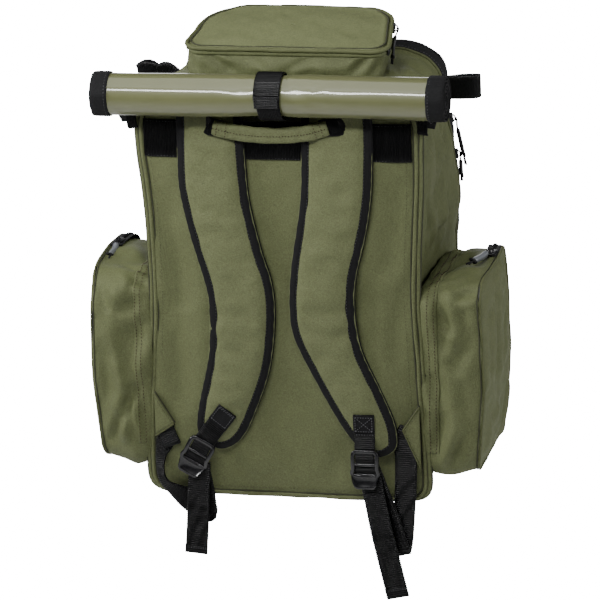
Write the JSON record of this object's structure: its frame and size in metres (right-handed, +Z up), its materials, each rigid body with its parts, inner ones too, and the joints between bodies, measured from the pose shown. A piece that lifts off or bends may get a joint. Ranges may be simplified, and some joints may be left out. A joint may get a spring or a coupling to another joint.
{
  "type": "tackle backpack",
  "caption": "Olive fishing tackle backpack with padded shoulder straps, zipped door, top pocket, side pockets and a rolled mat across its top.",
  "frame": {"origin": "centre of the base underside, which is the flat face the pack stands on", "axes": "+Z up; +X is the wearer's left; -Y is the wearer's side with the shoulder straps, +Y is the front with the zipped door"},
  "size_m": [0.5112, 0.369, 0.7389],
  "materials": {
    "olive_fabric": "woven coated polyester, matt",
    "olive_trim": "fabric-covered piping cord, matt",
    "black_webbing": "ribbed woven webbing and binding tape",
    "zip_tape": "zip tape with coil",
    "mat_pvc": "smooth PVC-coated sheet, semi-gloss",
    "buckle_plastic": "moulded acetal, glossy",
    "zip_metal": "black painted zip slider",
    "puller_grey": "grey rubber tube on a cord",
    "stiffener": "plain black polyethylene sheet"
  },
  "bodies": {
    "root": {"back_panel": "olive_fabric", "back_piping": "olive_trim", "frame_sheet": "stiffener", "body_shell": "olive_fabric", "base_board": "stiffener", "main_zip": "zip_tape", "webbing_band": "black_webbing", "top_pocket": "olive_fabric", "top_pocket_zip": "zip_tape", "mat_centre_strap": "black_webbing", "corner_tab_left": "olive_fabric", "corner_tab_right": "olive_fabric", "side_loop_left": "black_webbing", "side_loop_right": "black_webbing", "mat_keeper_left": "black_webbing", "mat_keeper_right": "black_webbing", "side_pocket_left": "olive_fabric", "side_pocket_right": "olive_fabric", "side_zip_left": "zip_tape", "side_zip_right": "zip_tape", "strap_yoke_left": "olive_fabric", "strap_yoke_right": "olive_fabric", "lower_webbing_left": "black_webbing", "lower_webbing_right": "black_webbing"},
    "front_door": {"front_door": "olive_fabric", "front_pocket": "olive_fabric", "front_pocket_zip": "zip_tape"},
    "front_flap": {"front_pocket_flap": "olive_fabric"},
    "top_lid": {"top_lid": "olive_fabric"},
    "side_flap_left": {"side_flap_left": "olive_fabric"},
    "strap_left": {"shoulder_pad_left": "olive_fabric", "shoulder_binding_left": "black_webbing", "buckle_webbing_left": "black_webbing"},
    "buckle_left": {"buckle_left": "buckle_plastic"},
    "tail_left": {"webbing_tail_left": "black_webbing"},
    "side_flap_right": {"side_flap_right": "olive_fabric"},
    "strap_right": {"shoulder_pad_right": "olive_fabric", "shoulder_binding_right": "black_webbing", "buckle_webbing_right": "black_webbing"},
    "buckle_right": {"buckle_right": "buckle_plastic"},
    "tail_right": {"webbing_tail_right": "black_webbing"},
    "handle": {"handle_webbing": "black_webbing", "handle_grip": "olive_fabric"},
    "mat": {"mat_roll": "mat_pvc", "mat_binding_left": "black_webbing", "mat_binding_right": "black_webbing"},
    "main_upper_slider": {"main_upper_slider": "zip_metal"},
    "main_upper_puller": {"main_upper_puller": "puller_grey"},
    "main_lower_slider": {"main_lower_slider": "zip_metal"},
    "main_lower_puller": {"main_lower_puller": "puller_grey"},
    "top_slider": {"top_slider": "zip_metal"},
    "top_puller": {"top_puller": "puller_grey"},
    "side_left_slider": {"side_left_slider": "zip_metal"},
    "side_left_puller": {"side_left_puller": "puller_grey"},
    "side_right_slider": {"side_right_slider": "zip_metal"},
    "side_right_puller": {"side_right_puller": "puller_grey"},
    "front_pocket_slider": {"front_pocket_slider": "zip_metal"},
    "front_pocket_puller": {"front_pocket_puller": "puller_grey"}
  },
  "joints": [
    {"name": "door_fold", "type": "hinge", "parent": "root", "child": "front_door", "pos_m": [0, 0.1238, 0.0035], "axis": [-1, 0, 0], "range_deg": [0, 100]},
    {"name": "front_flap_fold", "type": "hinge", "parent": "front_door", "child": "front_flap", "pos_m": [0, 0.173, 0.19], "axis": [-1, 0, 0], "range_deg": [0, 80]},
    {"name": "top_lid_fold", "type": "hinge", "parent": "root", "child": "top_lid", "pos_m": [0, -0.07, 0.5773], "axis": [1, 0, 0], "range_deg": [0, 100]},
    {"name": "side_flap_fold_left", "type": "hinge", "parent": "root", "child": "side_flap_left", "pos_m": [0.2556, 0, 0.19], "axis": [0, 1, 0], "range_deg": [0, 80]},
    {"name": "strap_swing_left", "type": "hinge", "parent": "root", "child": "strap_left", "pos_m": [0.085, -0.1345, 0.4697], "axis": [-1, 0, 0], "range_deg": [0, 25]},
    {"name": "buckle_tilt_left", "type": "hinge", "parent": "strap_left", "child": "buckle_left", "pos_m": [0.1054, -0.1535, 0.0665], "axis": [-1, 0, 0], "range_deg": [0, 15]},
    {"name": "tail_slide_left", "type": "slide", "parent": "buckle_left", "child": "tail_left", "axis": [0.1922, 0, -0.9814], "range_m": [0, 0.035]},
    {"name": "side_flap_fold_right", "type": "hinge", "parent": "root", "child": "side_flap_right", "pos_m": [-0.2556, 0, 0.19], "axis": [0, -1, 0], "range_deg": [0, 80]},
    {"name": "strap_swing_right", "type": "hinge", "parent": "root", "child": "strap_right", "pos_m": [-0.085, -0.1345, 0.4697], "axis": [-1, 0, 0], "range_deg": [0, 25]},
    {"name": "buckle_tilt_right", "type": "hinge", "parent": "strap_right", "child": "buckle_right", "pos_m": [-0.11037, -0.1535, 0.07237], "axis": [-0.8763, 0, 0.4817], "range_deg": [0, 15]},
    {"name": "tail_slide_right", "type": "slide", "parent": "buckle_right", "child": "tail_right", "axis": [-0.0761, 0, -0.9971], "range_m": [0, 0.035]},
    {"name": "handle_flip", "type": "hinge", "parent": "root", "child": "handle", "pos_m": [0, -0.1435, 0.512], "axis": [-1, 0, 0], "range_deg": [0, 30]},
    {"name": "mat_slide", "type": "slide", "parent": "root", "child": "mat", "axis": [1, 0, 0], "range_m": [-0.1, 0.1]},
    {"name": "main_upper_zip_run", "type": "slide", "parent": "root", "child": "main_upper_slider", "axis": [0, 0, 1], "range_m": [0, 0.03]},
    {"name": "main_upper_puller_lift", "type": "hinge", "parent": "main_upper_slider", "child": "main_upper_puller", "pos_m": [0.1878, 0.111, 0.447], "axis": [0, -1, 0], "range_deg": [0, 120]},
    {"name": "main_lower_zip_run", "type": "slide", "parent": "root", "child": "main_lower_slider", "axis": [0, 0, 1], "range_m": [-0.33, 0]},
    {"name": "main_lower_puller_lift", "type": "hinge", "parent": "main_lower_slider", "child": "main_lower_puller", "pos_m": [0.1878, 0.111, 0.398], "axis": [0, -1, 0], "range_deg": [0, 120]},
    {"name": "top_zip_run", "type": "slide", "parent": "root", "child": "top_slider", "axis": [0, 0.9707, 0.2403], "range_m": [-0.04, 0]},
    {"name": "top_puller_lift", "type": "hinge", "parent": "top_slider", "child": "top_puller", "pos_m": [0.1388, -0.005, 0.59109], "axis": [0, -0.9707, -0.2403], "range_deg": [0, 120]},
    {"name": "side_left_zip_run", "type": "slide", "parent": "root", "child": "side_left_slider", "axis": [0, -1, 0], "range_m": [0, 0.07]},
    {"name": "side_left_puller_lift", "type": "hinge", "parent": "side_left_slider", "child": "side_left_puller", "pos_m": [0.245, -0.01, 0.3018], "axis": [-0.9368, 0.3499, 0], "range_deg": [0, 150]},
    {"name": "side_right_zip_run", "type": "slide", "parent": "root", "child": "side_right_slider", "axis": [0, -1, 0], "range_m": [0, 0.07]},
    {"name": "side_right_puller_lift", "type": "hinge", "parent": "side_right_slider", "child": "side_right_puller", "pos_m": [-0.245, -0.01, 0.3018], "axis": [-0.9368, -0.3499, 0], "range_deg": [0, 150]},
    {"name": "front_pocket_zip_run", "type": "slide", "parent": "front_door", "child": "front_pocket_slider", "axis": [1, 0, 0], "range_m": [-0.17, 0]},
    {"name": "front_pocket_puller_lift", "type": "hinge", "parent": "front_pocket_slider", "child": "front_pocket_puller", "pos_m": [0.085, 0.162, 0.3378], "axis": [0, -1, 0], "range_deg": [0, 150]}
  ]
}
